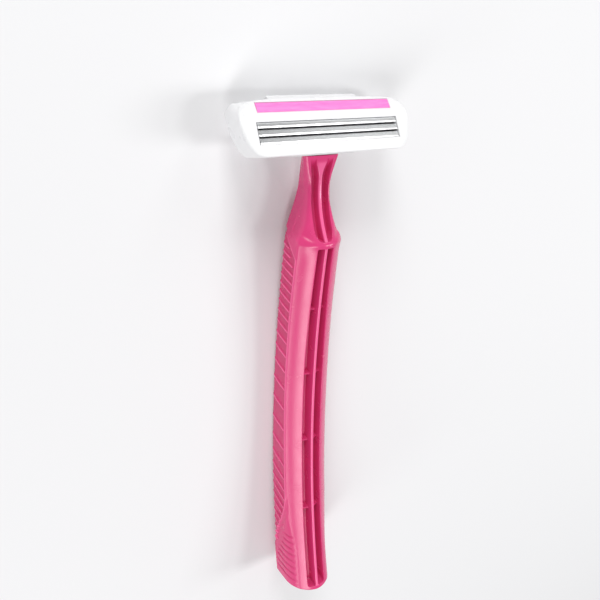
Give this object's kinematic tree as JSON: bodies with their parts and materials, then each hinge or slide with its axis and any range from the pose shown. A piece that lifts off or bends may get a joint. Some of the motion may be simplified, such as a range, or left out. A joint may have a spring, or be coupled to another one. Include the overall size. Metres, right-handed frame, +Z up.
{
  "type": "disposable wet razor",
  "caption": "One-piece wet-shaving razor: curved ribbed plastic handle, fixed head, and individually sprung blades behind a framed window under a lubricating strip.",
  "frame": {"origin": "middle of the bounding box in plan, on the plane the razor lies on", "axes": "+X along the head, +Y from the handle end toward the head, +Z up on the blade side; the razor lies on its back"},
  "size_m": [0.042, 0.13, 0.0187],
  "materials": {
    "handle_plastic": "glossy moulded pink",
    "head_plastic": "glossy moulded white",
    "strip": "satin, slightly waxy pink",
    "blade_steel": "bright ground steel",
    "support_steel": "plain rolled steel"
  },
  "bodies": {
    "razor": {"handle": "handle_plastic", "head_cover": "head_plastic", "head_base": "head_plastic", "lubricating_strip": "strip", "spring_finger_1_left": "head_plastic", "spring_finger_1_right": "head_plastic", "spring_finger_2_left": "head_plastic", "spring_finger_2_right": "head_plastic", "spring_finger_3_left": "head_plastic", "spring_finger_3_right": "head_plastic"},
    "blade_1": {"blade_1": "blade_steel", "blade_support_1": "support_steel"},
    "blade_2": {"blade_2": "blade_steel", "blade_support_2": "support_steel"},
    "blade_3": {"blade_3": "blade_steel", "blade_support_3": "support_steel"}
  },
  "joints": [
    {"name": "blade_1_travel", "type": "slide", "parent": "razor", "child": "blade_1", "axis": [0, -0.4682, -0.8836], "range_m": [0, 0.0004], "stiffness_N_per_m": 300, "springref_m": -0.0003, "deforming": ["spring_finger_1_left", "spring_finger_1_right"]},
    {"name": "blade_2_travel", "type": "slide", "parent": "razor", "child": "blade_2", "axis": [0, -0.4682, -0.8836], "range_m": [0, 0.0004], "stiffness_N_per_m": 300, "springref_m": -0.0003, "deforming": ["spring_finger_2_left", "spring_finger_2_right"]},
    {"name": "blade_3_travel", "type": "slide", "parent": "razor", "child": "blade_3", "axis": [0, -0.4682, -0.8836], "range_m": [0, 0.0004], "stiffness_N_per_m": 300, "springref_m": -0.0003, "deforming": ["spring_finger_3_left", "spring_finger_3_right"]}
  ]
}
